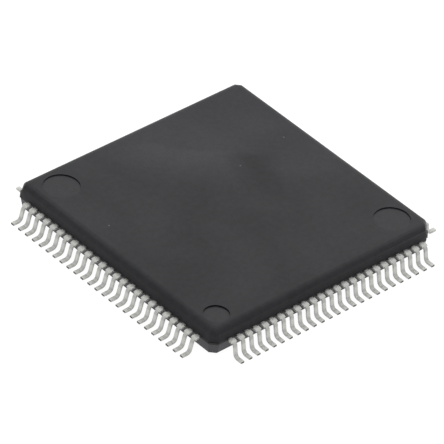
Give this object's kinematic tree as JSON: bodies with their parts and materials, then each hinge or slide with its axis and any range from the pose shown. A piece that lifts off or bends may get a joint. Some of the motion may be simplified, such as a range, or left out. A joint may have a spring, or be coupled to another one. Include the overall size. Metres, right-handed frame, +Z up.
{
  "type": "quad flat pack chip",
  "caption": "Low, square moulded chip package with a row of gull-wing leads on each side, for soldering flat on a circuit board.",
  "frame": {"origin": "the seating plane, under the middle of the body", "axes": "+Z up, away from the board; +X along the side with lead 1, from lead 1 to lead 25; +Y towards the opposite side"},
  "size_m": [0.016, 0.016, 0.0015],
  "materials": {
    "mould_compound": "matte black filled epoxy moulding compound",
    "tinned_lead": "matte tin plate on copper alloy, bare copper at the cut tips",
    "lead_frame_copper": "rolled copper alloy sheet",
    "die_adhesive": "silver-filled epoxy adhesive",
    "silicon": "polished silicon",
    "bond_wire": "drawn gold wire"
  },
  "bodies": {
    "root": {"mould_body": "mould_compound", "die_paddle": "lead_frame_copper", "die_attach": "die_adhesive", "silicon_die": "silicon", "leads_south_1": "tinned_lead", "leads_south_2": "tinned_lead", "leads_south_3": "tinned_lead", "leads_south_4": "tinned_lead", "leads_south_5": "tinned_lead", "leads_east_1": "tinned_lead", "leads_east_2": "tinned_lead", "leads_east_3": "tinned_lead", "leads_east_4": "tinned_lead", "leads_east_5": "tinned_lead", "leads_north_1": "tinned_lead", "leads_north_2": "tinned_lead", "leads_north_3": "tinned_lead", "leads_north_4": "tinned_lead", "leads_north_5": "tinned_lead", "leads_west_1": "tinned_lead", "leads_west_2": "tinned_lead", "leads_west_3": "tinned_lead", "leads_west_4": "tinned_lead", "leads_west_5": "tinned_lead", "wires_south_1": "bond_wire", "wires_south_2": "bond_wire", "wires_south_3": "bond_wire", "wires_south_4": "bond_wire", "wires_south_5": "bond_wire", "wires_east_1": "bond_wire", "wires_east_2": "bond_wire", "wires_east_3": "bond_wire", "wires_east_4": "bond_wire", "wires_east_5": "bond_wire", "wires_north_1": "bond_wire", "wires_north_2": "bond_wire", "wires_north_3": "bond_wire", "wires_north_4": "bond_wire", "wires_north_5": "bond_wire", "wires_west_1": "bond_wire", "wires_west_2": "bond_wire", "wires_west_3": "bond_wire", "wires_west_4": "bond_wire", "wires_west_5": "bond_wire"}
  },
  "joints": []
}
